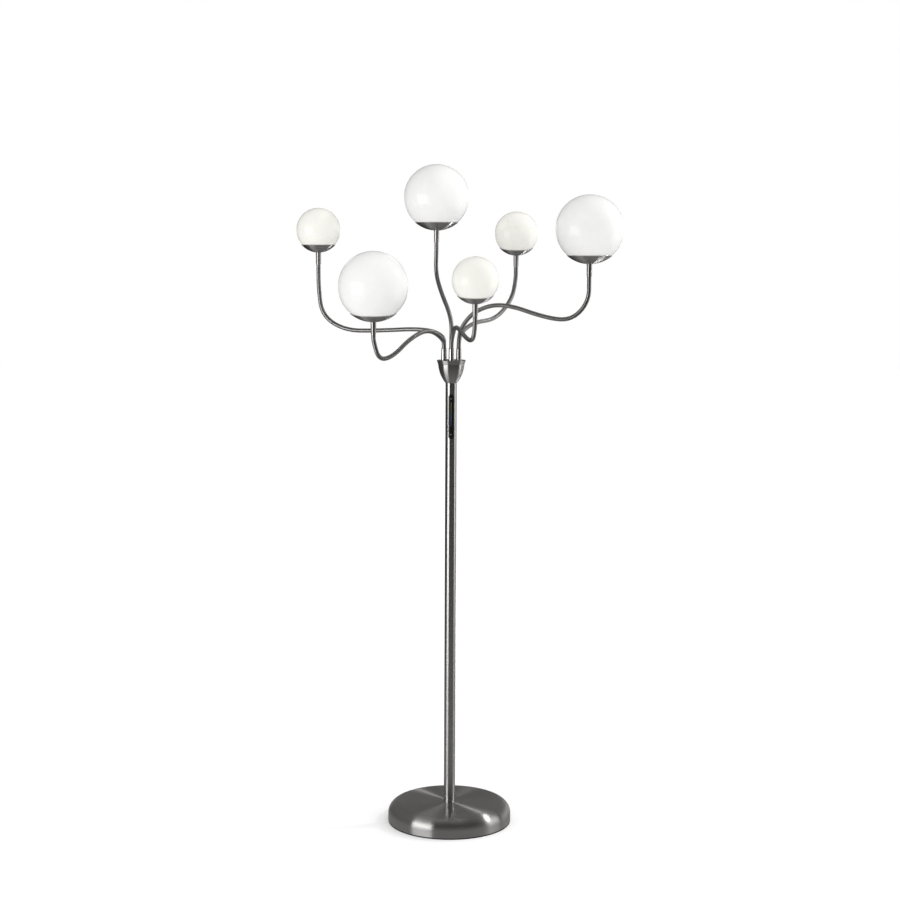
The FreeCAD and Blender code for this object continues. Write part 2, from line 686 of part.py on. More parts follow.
def swept_tube(name, wire):
    """A tube along a wire, with its bore; its volume is checked against section times length."""
    path = document.addObject("Part::Feature", f"{name}_path")
    path.Shape = wire
    first = wire.Edges[0]
    ahead = first.tangentAt(first.FirstParameter)
    place = Placement(first.Vertexes[0].Point, Rotation(Vector(0, 0, 1), ahead))
    solids = []
    for part, size in (("skin", "tube_outer"), ("bore", "tube_bore")):
        circle = document.addObject("Part::Circle", f"{name}_{part}_round")
        bind(circle, Radius=f"{size} / 2")
        circle.Placement = place
        sweep = document.addObject("Part::Sweep", f"{name}_{part}")
        sweep.Sections = [circle]
        sweep.Spine = (path, [f"Edge{index}" for index in range(1, len(wire.Edges) + 1)])
        sweep.Solid = True
        sweep.Frenet = False
        solids.append(sweep)
    return cut(name, solids[0], solids[1])


# ---------------------------------------------------------------------------------------------
# The heads.  Each has its own frame: the origin is the open end of its sleeve, +Z runs to the globe
# ---------------------------------------------------------------------------------------------
def head_sizes(size):
    """Formulas that the cap, the globe and the light mount of one size share."""
    cap_outer = f"({size}_globe / 2 + glass_fit + cap_wall)"
    seat_depth = f"sqrt({cap_outer}^2 - (cap_flat / 2)^2)"
    return {
        "cap_outer": cap_outer,
        "cap_inner": f"({size}_globe / 2 + glass_fit)",
        "inner_flat": f"sqrt((cap_flat / 2)^2 - 2 * cap_wall * ({cap_outer} - {seat_depth}))",
        "centre": f"(sleeve_length + {seat_depth})",
        "angle": f"({size}_cap_angle * 1 deg)",
        "glass_outer": f"({size}_globe / 2)",
        "glass_inner": f"({size}_globe / 2 - glass_wall)",
        "neck": f"({size}_neck / 2)",
    }


def head_sleeve(name):
    """The sleeve under a cap; its stud goes through the cap into the light mount."""
    top = "sleeve_length + cap_wall + head_stud"
    depth = "sleeve_length - sleeve_floor"
    return turned(f"{name}_sleeve_turned", [
        ("tube_outer / 2 + tube_fit", "0"),
        ("sleeve_narrow / 2", "0"),
        ("sleeve_wide / 2", "sleeve_length"),
        ("stud_outer / 2", "sleeve_length"),
        ("stud_outer / 2", top),
        ("wire_way / 2", top),
        ("wire_way / 2", depth),
        ("tube_outer / 2 + tube_fit", depth),
    ])


def head_cap(name, size):
    """A spun dish that follows the globe up to its rim, with a small flat seat."""
    made = head_sizes(size)
    outer, inner, centre, angle = made["cap_outer"], made["cap_inner"], made["centre"], made["angle"]
    hole = "stud_outer / 2 + stud_fit"
    floor = "sleeve_length + cap_wall"
    return turned(f"{name}_cap_turned", [
        (hole, "sleeve_length"),
        ("cap_flat / 2", "sleeve_length", (outer, 1)),
        (f"{outer} * sin{angle}", f"{centre} - {outer} * cos{angle}"),
        (f"{inner} * sin{angle}", f"{centre} - {inner} * cos{angle}", (inner, -1)),
        (made["inner_flat"], floor),
        (hole, floor),
    ])


def head_globe(name, size):
    """A blown globe with a round opening at its foot."""
    made = head_sizes(size)
    outer, inner, centre, neck = made["glass_outer"], made["glass_inner"], made["centre"], made["neck"]
    return turned(f"{name}_globe_blown", [
        (neck, f"{centre} - sqrt({outer}^2 - {neck}^2)", (outer, 1)),
        ("0", f"{centre} + {outer}"),
        ("0", f"{centre} + {inner}", (inner, -1)),
        (neck, f"{centre} - sqrt({inner}^2 - {neck}^2)"),
    ])


def light_mount(name, size):
    """A turned aluminium post that screws onto the stud, clamps the cap and cools the board.

    Its foot is flat on the cap's seat and rises past it, clear of the cap's curve.
    """
    made = head_sizes(size)
    foot = f"({size}_mount_foot / 2)"
    floor = "sleeve_length + cap_wall"
    bore = "stud_outer / 2"
    foot_rise = f"{made['centre']} - sqrt({made['cap_inner']}^2 - {foot}^2) + glass_fit"
    top = f"{floor} + {size}_mount_height"
    return turned(f"{name}_mount_turned", [
        (bore, floor),
        (f"{made['inner_flat']} - stud_fit", floor),
        (foot, foot_rise),
        (foot, f"{foot_rise} + mount_flange"),
        ("mount_stem / 2", f"{foot_rise} + mount_flange"),
        ("mount_stem / 2", f"{top} - mount_table"),
        (f"{size}_mount_top / 2", f"{top} - mount_table"),
        (f"{size}_mount_top / 2", top),
        (bore, top),
    ])


def light_board(name, size):
    """A round circuit board with a ring of light chips."""
    top = f"sleeve_length + cap_wall + {size}_mount_height"
    reach = f"({size}_mount_top / 2 - chip_size)"
    at = ("0", "0", top)
    disc = ring(f"{name}_board", f"{size}_mount_top - 2 * board_rim", "wire_way", "board_thick", at)
    chips = []
    for index in range(CHIPS):
        bearing = f"({index * 360.0 / CHIPS} deg)"
        chips.append(box(f"{name}_chip_{index}", ("chip_size", "chip_size", "chip_height"), (
            f"{reach} * cos{bearing} - chip_size / 2", f"{reach} * sin{bearing} - chip_size / 2",
            f"{top} + board_thick")))
    board = document.addObject("Part::MultiFuse", f"{name}_board_fused")
    board.Shapes = [disc] + chips
    return board


def arm(name):
    """One arm: the gooseneck in two lengths, and a head of five pieces on its end."""
    facts = ARMS[name]
    lower, upper = arm_route(name, facts)
    node(swept_tube(f"{name}_lower", lower), f"{name}_gooseneck")
    node(swept_tube(f"{name}_upper", upper), f"{name}_gooseneck_neck")
    _, end, axis = arm_corners(facts)
    place = Placement(end - axis * number("sleeve_length"), Rotation(Vector(0, 0, 1), axis))
    size = facts["globe"]
    pieces = {
        "head_sleeve": head_sleeve(name),
        "cap": head_cap(name, size),
        "light_mount": light_mount(name, size),
        "light_board": light_board(name, size),
        "globe": head_globe(name, size),
    }
    for part, thing in pieces.items():
        node(thing, f"{name}_{part}")
        thing.Placement = place


# ---------------------------------------------------------------------------------------------
# Build, check, write
# ---------------------------------------------------------------------------------------------
base_pad()
base_weight()
base_shell()
cord_inlet()
pole_sections()
pole_couplers()
nipples_nuts_washers()
wiring_harness()
touch_strip()
arm_cup()
cup_plate()
root_sleeves_and_nuts()
for arm_name in ARMS:
    arm(arm_name)
document.recompute()

failed = [thing.Label for thing in document.Objects if {"Invalid", "Error"} & set(thing.State)]
if failed:
    raise SystemExit(f"these objects failed: {failed}")
for piece in nodes:
    if piece.Shape.isNull() or not piece.Shape.isValid() or not piece.Shape.Solids:
        raise SystemExit(f"{piece.Label} has no valid solid")

# A gooseneck's volume is its ring section times the length of its middle line.
section = math.pi / 4 * (number("tube_outer") ** 2 - number("tube_bore") ** 2)
for arm_name in ARMS:
    for half, label in (("lower", "gooseneck"), ("upper", "gooseneck_neck")):
        length = document.getObject(f"{arm_name}_{half}_path").Shape.Length
        volume = document.getObject(f"{arm_name}_{half}").Shape.Volume
        if abs(volume - section * length) > 0.01 * volume:
            raise SystemExit(f"{arm_name}_{label} is {volume:.0f}, not {section * length:.0f}")

# The plate's six holes: the pattern has to have cut all of them.
plate = document.getObject("plate")
holes = [face for face in plate.Shape.Faces if face.Surface.TypeId == "Part::GeomCylinder"]
if len(holes) != len(ARMS) + 1:
    raise SystemExit(f"the cup's plate has {len(holes) - 1} holes")

os.makedirs("parts", exist_ok=True)
for piece in nodes:
    piece.Shape.exportStep(f"parts/{piece.Label}.step")
    solids = piece.Shape.Solids
    print(f"{piece.Label}: {len(solids)} solid(s), {sum(solid.Volume for solid in solids):.0f} mm3")
print(len(nodes), "nodes")
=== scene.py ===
# %% [markdown]
# # A tree floor lamp in brushed steel and opal glass
#
# The real lamp is a heavy round foot, a straight tube with a touch strip, and a spun cup that
# holds six flexible arms.  Each arm carries a blown opal globe in a shallow steel cap.
#
# The pieces with exact sizes come from the frame, which is a finished mechanical model, and they
# keep their places.  What is left for this script is the look: the light, every finish, and the
# wound skin of the six flexible arms, which a plain tube can't show.

import json
import math

import bpy
import numpy as np
from mathutils import Matrix, Vector


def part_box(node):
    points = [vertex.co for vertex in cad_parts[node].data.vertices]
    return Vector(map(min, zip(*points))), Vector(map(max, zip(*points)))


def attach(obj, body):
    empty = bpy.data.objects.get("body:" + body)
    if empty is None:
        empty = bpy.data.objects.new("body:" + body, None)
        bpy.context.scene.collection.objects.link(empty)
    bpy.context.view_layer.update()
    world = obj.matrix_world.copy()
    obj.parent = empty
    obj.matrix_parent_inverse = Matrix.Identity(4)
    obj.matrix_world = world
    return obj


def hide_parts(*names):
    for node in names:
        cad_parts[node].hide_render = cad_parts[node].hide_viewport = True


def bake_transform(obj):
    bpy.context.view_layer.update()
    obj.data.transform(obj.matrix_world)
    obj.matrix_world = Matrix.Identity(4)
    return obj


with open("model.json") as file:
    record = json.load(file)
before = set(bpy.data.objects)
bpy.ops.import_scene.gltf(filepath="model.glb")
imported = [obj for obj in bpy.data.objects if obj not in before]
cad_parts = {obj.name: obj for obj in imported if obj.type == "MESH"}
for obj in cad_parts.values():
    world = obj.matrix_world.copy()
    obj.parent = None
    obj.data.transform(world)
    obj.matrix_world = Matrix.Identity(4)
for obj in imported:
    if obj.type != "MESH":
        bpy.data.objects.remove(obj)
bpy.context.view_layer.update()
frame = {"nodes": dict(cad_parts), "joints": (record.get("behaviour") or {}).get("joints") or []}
nodes = frame["nodes"]
joints = {joint["name"]: joint for joint in frame["joints"]}

# %% [markdown]
# ## The camera
#
# The lamp is pictured from about four metres with a long lens, a little above its cup.  A camera
# could be aimed with a constraint, but three plain numbers (height, downward tilt and a slight
# roll) say the same thing openly, and they can be measured: the flatness of the foot's ellipse
# gives the tilt, and the lean of the tube gives the roll.  A Blender camera looks along its own
# -Z, so it is first turned up by 90 degrees less the tilt, and the roll is about its own axis.

# %% Camera
CAMERA_PLACE = Vector((-0.002, -4.0, 1.3295))
CAMERA_TILT = math.radians(6.78)
CAMERA_ROLL = math.radians(0.254)
CAMERA_LENS = 72.0      # millimetres
CAMERA_SIGHT = 100.0    # metres that it sees, more than the floor is wide

camera = bpy.data.objects.new("camera", bpy.data.cameras.new("camera"))
bpy.context.scene.collection.objects.link(camera)
camera.data.lens = CAMERA_LENS
camera.data.clip_end = CAMERA_SIGHT
tilted = Matrix.Rotation(math.pi / 2 - CAMERA_TILT, 4, "X")
rolled = Matrix.Rotation(CAMERA_ROLL, 4, "Z")
camera.matrix_world = Matrix.Translation(CAMERA_PLACE) @ tilted @ rolled
bpy.context.scene.camera = camera
bpy.context.scene.view_settings.view_transform = "Standard"
print("camera at", list(CAMERA_PLACE), "with a lens of", CAMERA_LENS, "mm")

# %% [markdown]
# ## Shader arithmetic in Python
#
# Every finish below is a small sum of noises and masks.  Wiring such a sum by hand takes dozens of
# Math nodes, and the formula is lost among the links.  One small class keeps it readable: it holds
# a socket, and each Python operator on it adds the Math node that does the same.  Any other node
# comes from its one method `node`, which sets the node's settings before its sockets.


# %% Shader arithmetic
class Shade:
    """A socket of a node tree.  Arithmetic on it adds Math nodes to the tree."""

    def __init__(self, tree, socket=None):
        self.tree = tree
        self.socket = socket

    def node(self, kind, settings=(), values=(), output=0):
        """Add a node: set its settings, then give its sockets numbers, colours or links."""
        made = self.tree.nodes.new(kind)
        for name, setting in dict(settings).items():
            if name == "stops":
                set_stops(made.color_ramp, setting)
            else:
                setattr(made, name, setting)
        for name, value in dict(values).items():
            if isinstance(value, Shade):
                self.tree.links.new(value.socket, made.inputs[name])
            else:
                made.inputs[name].default_value = value
        return Shade(self.tree, made.outputs[output] if made.outputs else None)

    def maths(self, operation, *terms):
        return self.node("ShaderNodeMath", {"operation": operation}, dict(enumerate(terms)))

    def __add__(self, other):
        return self.maths("ADD", self, other)

    def __radd__(self, other):
        return self.maths("ADD", other, self)

    def __sub__(self, other):
        return self.maths("SUBTRACT", self, other)

    def __rsub__(self, other):
        return self.maths("SUBTRACT", other, self)

    def __mul__(self, other):
        return self.maths("MULTIPLY", self, other)

    def __rmul__(self, other):
        return self.maths("MULTIPLY", other, self)

    def __truediv__(self, other):
        return self.maths("DIVIDE", self, other)


def set_stops(ramp, stops):
    """Give a colour ramp its stops, each a (position, colour)."""
    while len(ramp.elements) < len(stops):
        ramp.elements.new(1.0)
    for element, (position, colour) in zip(ramp.elements, stops):
        element.position = position
        element.color = colour


print("numbers in a shader can be added, subtracted, multiplied and divided")

# %% [markdown]
# ## Steps, mixes and greys
#
# Three more helpers come back in almost every material.  A smooth step turns a noise or a distance
# into a mask with a soft edge.  A mix puts one colour over another by such a mask, and has to be a
# Mix node, because a Math node would turn its colours grey.  And steel is never a pure grey, so a
# grey may have a little warmth.


# %% Steps, mixes and greys
def step_between(value, low, high):
    """0 below low and 1 above high, with a smooth rise between them."""
    return value.node("ShaderNodeMapRange", {"interpolation_type": "SMOOTHSTEP"},
                      {"Value": value, "From Min": low, "From Max": high})


def mix_colours(factor, first, second):
    """first where the factor is 0, second where it is 1."""
    return factor.node("ShaderNodeMix", {"data_type": "RGBA"}, {0: factor, 6: first, 7: second}, 2)


def grey(level, warmth=0.0):
    """A grey with a little more red than blue where warmth is over 0."""
    return (level * (1 + warmth), level, level * (1 - warmth), 1.0)


print("a mid grey with a little warmth is", grey(0.5, 0.02))

# %% [markdown]
# ## The room
#
# In the picture the lamp stands before plain white.  White could come from strong lamps, but those
# would burn out the pale globes.  The Light Path node separates what the camera sees from what
# lights the lamp: a camera ray that misses everything gets plain white, while the light on the
# lamp stays at an even, moderate level, with a little more from the right, opposite the large
# panel.
#
# Steel shows its surroundings, so mirror rays get a room of their own.  Its white backdrop is low,
# and stands behind the lamp and to its right, before a grey wall.  The rest is dim in front, which
# gives the tube its dark bands, and a little paler overhead and to the back, which keeps the top of
# the foot an even grey.

# %% Room
ROOM_LIGHT = 0.93            # light from all round, for matt surfaces
ROOM_FROM_RIGHT = 0.60       # its share more from the right, and less from the left
ROOM_IN_STEEL = 0.03         # what steel mirrors of the dim room,
UPPER_IN_STEEL = 0.15        # of its paler upper part,
WALL_IN_STEEL = 0.14         # of the wall behind the lamp,
BACKDROP_IN_STEEL = 0.8      # and of the white backdrop before it
WALL_MIDDLE = (0.34, 0.94)   # the way to the wall's middle, as (x, y)
WALL_SIDES = (0.62, 0.80)    # cosines of the angles from there where it ends and where it is whole
BACKDROP_TOP = (0.0, 0.08)   # sines of the heights between which the backdrop fades out
BACKDROP_RISE = 0.2          # and how much higher it stands to the right
UPPER_HEIGHT = (0.05, 0.25)  # sines of the heights between which the room gets paler,
UPPER_DEPTH = (-0.5, 0.0)    # and the same for y, where -1 is towards the camera

world = bpy.data.worlds.new("room")
bpy.context.scene.world = world
world.use_nodes = True
world.node_tree.nodes.clear()
room = Shade(world.node_tree)
toward = room.node("ShaderNodeTexCoord", output="Generated")
toward_x = room.node("ShaderNodeSeparateXYZ", values={0: toward}, output="X")
toward_y = room.node("ShaderNodeSeparateXYZ", values={0: toward}, output="Y")
toward_z = room.node("ShaderNodeSeparateXYZ", values={0: toward}, output="Z")
is_camera = room.node("ShaderNodeLightPath", output="Is Camera Ray")
is_mirror = room.node("ShaderNodeLightPath", output="Is Glossy Ray")
is_through = room.node("ShaderNodeLightPath", output="Is Transmission Ray")
behind = step_between(toward_x * WALL_MIDDLE[0] + toward_y * WALL_MIDDLE[1], *WALL_SIDES)
above_edge = toward_z - toward_x.maths("MAXIMUM", toward_x, 0.0) * BACKDROP_RISE
backdrop = 1 - step_between(above_edge, *BACKDROP_TOP)
back_wall = backdrop * (BACKDROP_IN_STEEL - WALL_IN_STEEL) + WALL_IN_STEEL
upper = step_between(toward_z, *UPPER_HEIGHT) * step_between(toward_y, *UPPER_DEPTH)
around = upper * (UPPER_IN_STEEL - ROOM_IN_STEEL) + ROOM_IN_STEEL
in_steel = behind * (back_wall - around) + around
matt = 1 - is_camera.maths("MAXIMUM", is_camera, is_mirror)
for_matt = (toward_x * ROOM_FROM_RIGHT + 1) * ROOM_LIGHT
strength = is_camera + is_through + is_mirror * in_steel + matt * for_matt
surround = room.node("ShaderNodeBackground", values={"Color": grey(1.0), "Strength": strength})
room.node("ShaderNodeOutputWorld", values={"Surface": surround})
print("room light", ROOM_LIGHT)

# %% [markdown]
# ## The floor
#
# The floor is one large square, pale and plain.

# %% Floor
FLOOR_HALF = 14.0

floor_mesh = bpy.data.meshes.new("floor")
corners = [(-FLOOR_HALF, -FLOOR_HALF, 0), (FLOOR_HALF, -FLOOR_HALF, 0),
           (FLOOR_HALF, FLOOR_HALF, 0), (-FLOOR_HALF, FLOOR_HALF, 0)]
floor_mesh.from_pydata(corners, [], [(0, 1, 2, 3)])
floor = bpy.data.objects.new("floor", floor_mesh)
bpy.context.scene.collection.objects.link(floor)
print("floor of", 2 * FLOOR_HALF, "m")

# %% [markdown]
# ## Light on the floor
#
# To the camera the floor glows just enough to reach white, and the soft shadow under the foot takes
# a part of that away, so the shadow stays.  Near the lamp, where the panels light it as well, it
# glows less.
#
# Mirror rays get a dimmer floor, with two wide pools of light, one under the large panel and one to
# the right and behind: a cap's underside shows a floor with a bright side, and the light bands of
# the tube go on down to the foot, while the tube stays dark in front.  One small bright spot behind
# the lamp draws the white streak on the right of each cap.

# %% Light on the floor
FLOOR_COLOUR = grey(0.78)
NEAR, FAR = 0.4, 2.4               # metres from the foot between which near turns to far
FLOOR_GLOW = 0.32
GLOW_LESS_NEAR = 0.12
STEEL_SEES_NEAR, STEEL_SEES_FAR = 0.24, 0.05
POOLS = [  # azimuth, half-width, light, and the distance where it begins
    (-52.0, 24.0, 0.60, 0.9),
    (116.0, 46.0, 0.30, 1.4),
]
POOL_CORE = 0.7                    # share of its half-width where a pool is whole
POOL_WHOLE = 1.9                   # and at how many times the distance where it begins
SPOT_PLACE = (0.85, 1.30, 0.0)
SPOT_RADIUS, SPOT_LIGHT = 0.25, 7.0
SPOT_CORE = 0.6                    # share of its radius where the spot is whole

floor_material = bpy.data.materials.new("pale_floor")
floor_material.use_nodes = True
floor_material.node_tree.nodes.clear()
paint = Shade(floor_material.node_tree)
to_camera = paint.node("ShaderNodeLightPath", output="Is Camera Ray")
to_steel = paint.node("ShaderNodeLightPath", output="Is Glossy Ray")
to_glass = paint.node("ShaderNodeLightPath", output="Is Transmission Ray")
place = paint.node("ShaderNodeTexCoord", output="Object")
from_foot = paint.node("ShaderNodeVectorMath", {"operation": "LENGTH"}, {0: place}, "Value")
near_foot = 1 - step_between(from_foot, NEAR, FAR)
in_steel = near_foot * (STEEL_SEES_NEAR - STEEL_SEES_FAR) + STEEL_SEES_FAR
for azimuth, half_width, light, begins in POOLS:
    across, spread = math.radians(azimuth), math.radians(half_width)
    ahead = (math.sin(across), -math.cos(across), 0.0)
    reach = paint.node(
        "ShaderNodeVectorMath", {"operation": "DOT_PRODUCT"}, {0: place, 1: ahead}, "Value")
    inside = step_between(reach / from_foot, math.cos(spread), math.cos(spread * POOL_CORE))
    in_steel = in_steel + inside * step_between(from_foot, begins, POOL_WHOLE * begins) * light
from_spot = paint.node(
    "ShaderNodeVectorMath", {"operation": "DISTANCE"}, {0: place, 1: SPOT_PLACE}, "Value")
in_spot = 1 - step_between(from_spot, SPOT_CORE * SPOT_RADIUS, SPOT_RADIUS)
in_steel = in_steel + in_spot * SPOT_LIGHT
glow_strength = (to_camera + to_glass) * (FLOOR_GLOW - near_foot * GLOW_LESS_NEAR)
glow = paint.node("ShaderNodeEmission", values={"Color": grey(1.0), "Strength": glow_strength})
matt_floor = paint.node("ShaderNodeBsdfDiffuse", values={"Color": FLOOR_COLOUR})
lit = paint.node("ShaderNodeAddShader", values={0: matt_floor, 1: glow})
dim = paint.node("ShaderNodeEmission", values={"Color": grey(1.0), "Strength": in_steel})
whole = paint.node("ShaderNodeMixShader", values={0: to_steel, 1: lit, 2: dim})
paint.node("ShaderNodeOutputMaterial", values={"Surface": whole})
floor_mesh.materials.append(floor_material)
print(len(POOLS), "pools of light and a spot on the floor")

# %% [markdown]
# ## The lamps
#
# A studio lights steel with large soft panels, because a tube shows each panel as a long band.
# Reading the bands backwards gives the panels: where a band lies across the tube tells the
# direction of its light.  The broad bright band is a large panel to the front left, and the thin
# one near the right edge a tall strip on the right.  The small sparks on the globes and the fine
# line across the foot are a small window, high on the right and a little behind the lamp.  A faint
# panel overhead lights the tops.
#
# Each panel is placed by the direction it lights from, as azimuth and elevation, and its power is
# worked out from how bright it should look, which doesn't change when its size does.

# %% Lamps
AIM = Vector((0.0, 0.0, 0.95))
PANELS = [  # name, azimuth, elevation, distance, width, height, brightness
    ("left_panel", -52.0, 0.0, 3.4, 2.4, 1.88, 3.1),
    ("right_strip", 92.0, 0.0, 2.6, 1.25, 1.85, 1.0),
    ("high_window", 104.0, 35.0, 3.0, 0.12, 0.12, 400.0),
    ("ceiling_panel", 0.0, 84.0, 2.6, 2.2, 2.2, 0.15),
]


def light_direction(azimuth, elevation):
    """Unit vector to a light: azimuth 0 is the camera's side and 90 the right, in degrees."""
    across, up = math.radians(azimuth), math.radians(elevation)
    return Vector((math.sin(across) * math.cos(up), -math.cos(across) * math.cos(up), math.sin(up)))


def panel(name, azimuth, elevation, distance, width, height, brightness):
    """A soft panel; a matt emitter of this brightness gives out pi times brightness times area."""
    lamp = bpy.data.objects.new(name, bpy.data.lights.new(name, "AREA"))
    lamp.data.shape = "RECTANGLE"
    lamp.data.size = width
    lamp.data.size_y = height
    lamp.data.energy = math.pi * brightness * width * height
    lamp.location = AIM + light_direction(azimuth, elevation) * distance
    lamp.rotation_euler = (AIM - lamp.location).to_track_quat("-Z", "Y").to_euler()
    lamp.visible_camera = False
    bpy.context.scene.collection.objects.link(lamp)


for row in PANELS:
    panel(*row)
print(len(PANELS), "panels")

# %% [markdown]
# ## Starting and ending a material
#
# A material starts empty, so that nothing is left over from Blender's default.  Its last two nodes
# are always the same: the Principled shader, which stands for nearly every real finish, and the
# output.  Numbers that are the same all over go straight onto the shader's own sockets.


# %% Material helpers
def start_material(name):
    """An empty material, and a Shade to build its nodes on."""
    material = bpy.data.materials.new(name)
    material.use_nodes = True
    material.node_tree.nodes.clear()
    return material, Shade(material.node_tree)


def end_material(material, shade, **sockets):
    """Close a material with the Principled shader; underscores stand for the spaces in names."""
    values = {name.replace("_", " "): value for name, value in sockets.items()}
    surface = shade.node("ShaderNodeBsdfPrincipled", values=values)
    shade.node("ShaderNodeOutputMaterial", values={"Surface": surface})
    return material


def noise(shade, vector, scale, detail=2.0, roughness=0.5):
    """Three-dimensional noise, about 0 to 1."""
    return shade.node("ShaderNodeTexNoise", {"noise_dimensions": "3D"}, {
        "Vector": vector, "Scale": scale, "Detail": detail, "Roughness": roughness}, "Fac")


def bump(shade, height, strength, distance):
    """A normal that follows a height; distance is how high, in metres."""
    return shade.node("ShaderNodeBump", values={
        "Height": height, "Strength": strength, "Distance": distance}, output="Normal")


def dress(material, *names):
    """Give the material to whole nodes of the frame."""
    for name in names:
        for slot in nodes[name].material_slots:
            slot.material = material


print("helpers are ready")

# %% [markdown]
# ## Lathe-brushed steel
#
# The foot, tube, cup and caps are all finished while they turn: an abrasive pad leaves fine rings
# round the axis.  Two things show it.  The rings themselves are noise that varies along the
# profile, (radius, height), and hardly at all round the axis.  And their sheen is drawn out across
# the rings, which is what the shader's anisotropy does.  Left alone, its direction goes round
# the piece's own upright axis, so a quarter turn of it makes the sheen run across the rings.
#
# Each head leans its own way, so the rings need a centre and a tilt: a Mapping node of the texture
# kind undoes the head's placement.


# %% Lathe-brushed steel
STEEL = grey(0.62, 0.022)
STEEL_DARK = grey(0.565, 0.028)
ROUND_RING = 0.002        # how far the noise moves, either way, on its way round a ring
ROUGHNESS_SPREAD = 0.03


def brushed_steel(name, roughness, anisotropy=1.0, centre=(0, 0, 0), lean=0.0, rings=900.0):
    """Steel with rings round its axis.

    The rings are noise over (radius, height, ROUND_RING times the bearing's cosine), so they vary
    along the profile and hardly at all round the axis.  rings is the noise's scale.
    """
    material, shade = start_material(name)
    at = shade.node("ShaderNodeTexCoord", output="Object")
    own = shade.node("ShaderNodeMapping", {"vector_type": "TEXTURE"}, {
        "Vector": at, "Location": centre, "Rotation": (lean, 0, 0)})
    own_x = shade.node("ShaderNodeSeparateXYZ", values={0: own}, output="X")
    own_y = shade.node("ShaderNodeSeparateXYZ", values={0: own}, output="Y")
    own_z = shade.node("ShaderNodeSeparateXYZ", values={0: own}, output="Z")
    radius = shade.maths("SQRT", own_x * own_x + own_y * own_y) + 1e-5
    profile = shade.node("ShaderNodeCombineXYZ", values={
        "X": radius, "Y": own_z, "Z": own_x / radius * ROUND_RING})
    fine = noise(shade, profile, rings, 3.0, 0.65)
    broad = noise(shade, profile, rings / 9, 2.0)
    cloud = noise(shade, own, 11.0, 3.0)
    wear = fine * 0.5 + broad * 0.3 + cloud * 0.2
    colour = mix_colours(step_between(wear, 0.32, 0.68), STEEL_DARK, STEEL)
    return end_material(
        material, shade, Base_Color=colour, Metallic=1.0,
        Roughness=roughness - 0.5 * ROUGHNESS_SPREAD + wear * ROUGHNESS_SPREAD,
        Anisotropic=anisotropy, Anisotropic_Rotation=0.25,
        Normal=bump(shade, fine, 0.05, 0.00001))


dress(brushed_steel("brushed_tube", 0.27), "pole_lower", "pole_middle", "pole_upper")
dress(brushed_steel("brushed_cup", 0.30), "arm_cup", "cup_plate")
dress(brushed_steel("brushed_foot", 0.30, rings=700.0), "base_shell")
print("tube, cup and foot are brushed")

# %% [markdown]
# ## The heads
#
# Every head is a small piece of turning of its own: a sleeve, a cap and the parts in it share one
# axis.  The axis passes through the head's hinge, and on three of them it leans to the front by a
# few degrees.

# %% Heads
HEADS = {  # size of the globe, and degrees that the head leans to the front
    "left": ("small", 0.0), "front_left": ("large", 6.5), "top": ("large", 0.0),
    "front": ("small", 8.0), "right": ("large", 0.0), "back_right": ("small", 9.0),
}
for name, (_, lean) in HEADS.items():
    hinge = joints[f"{name}_nod"]["pos_m"]
    steel = brushed_steel(f"brushed_cap_{name}", 0.29, 1.0, hinge, math.radians(lean))
    dress(steel, f"{name}_cap", f"{name}_head_sleeve")
dress(brushed_steel("brushed_sleeve", 0.22, 0.3), "arm_root_sleeves")
print(len(HEADS), "heads")

# %% [markdown]
# ## Opal glass
#
# Opal glass is milk-white through and through, with a fire-polished skin.  It could be made with
# real scattering, but the wall is so milky that it looks like a glossy white solid, which is
# quicker and survives in any other program.  Blown glass is never quite even: a broad, very low
# bump makes the panels' reflections swim, and the milk is a shade denser in places.


# %% Opal glass
def opal_glass(name, milk, dense):
    """Milk-white glass: a slow mix of two whites under a hard gloss that swims a little."""
    material, shade = start_material(name)
    at = shade.node("ShaderNodeTexCoord", output="Object")
    drift = noise(shade, at, 9.0, 2.0)
    swirl = noise(shade, at, 28.0, 3.0)
    colour = mix_colours(step_between(drift * 0.7 + swirl * 0.3, 0.35, 0.65), milk, dense)
    return end_material(
        material, shade, Base_Color=colour, Roughness=0.14 + swirl * 0.08, IOR=1.4,
        Normal=bump(shade, drift + swirl * 0.2, 0.15, 0.0012))


large_opal = opal_glass("opal_large", (0.865, 0.865, 0.85, 1.0), (0.825, 0.822, 0.81, 1.0))
small_opal = opal_glass("opal_small", (0.865, 0.858, 0.81, 1.0), (0.83, 0.822, 0.772, 1.0))
for name, (size, _) in HEADS.items():
    dress(large_opal if size == "large" else small_opal, f"{name}_globe")
print("six globes of opal glass")

# %% [markdown]
# ## The touch strip
#
# The strip is a lens of black acrylic.  A fine line down its middle fades from red through green
# and blue to violet, and shows where to touch for a colour; a pale dot at each end switches the
# light.  All of it is printed behind the gloss, so it is colour under one hard clear skin.
# The line is a mask on the distance from the middle, and its colours are a ramp along its height.

# %% Touch strip
STRIP_LOW, STRIP_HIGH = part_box("touch_strip")
STRIP_HEIGHT = STRIP_HIGH.z - STRIP_LOW.z
LENS_BLACK = (0.006, 0.006, 0.007, 1.0)
LINE_WIDTH = 0.0011
LINE_ENDS = (0.27, 0.83)   # shares of the strip's height
LINE_STOPS = [             # from violet at the bottom to red at the top
    (0.00, (0.050, 0.032, 0.085, 1.0)), (0.22, (0.060, 0.070, 0.180, 1.0)),
    (0.42, (0.060, 0.120, 0.200, 1.0)), (0.60, (0.080, 0.130, 0.045, 1.0)),
    (0.76, (0.160, 0.120, 0.045, 1.0)), (1.00, (0.280, 0.110, 0.060, 1.0)),
]
DOT_SHARES = (0.10, 0.90)  # shares of the strip's height
DOT_RADIUS = 0.0016
DOT_COLOUR = grey(0.12)

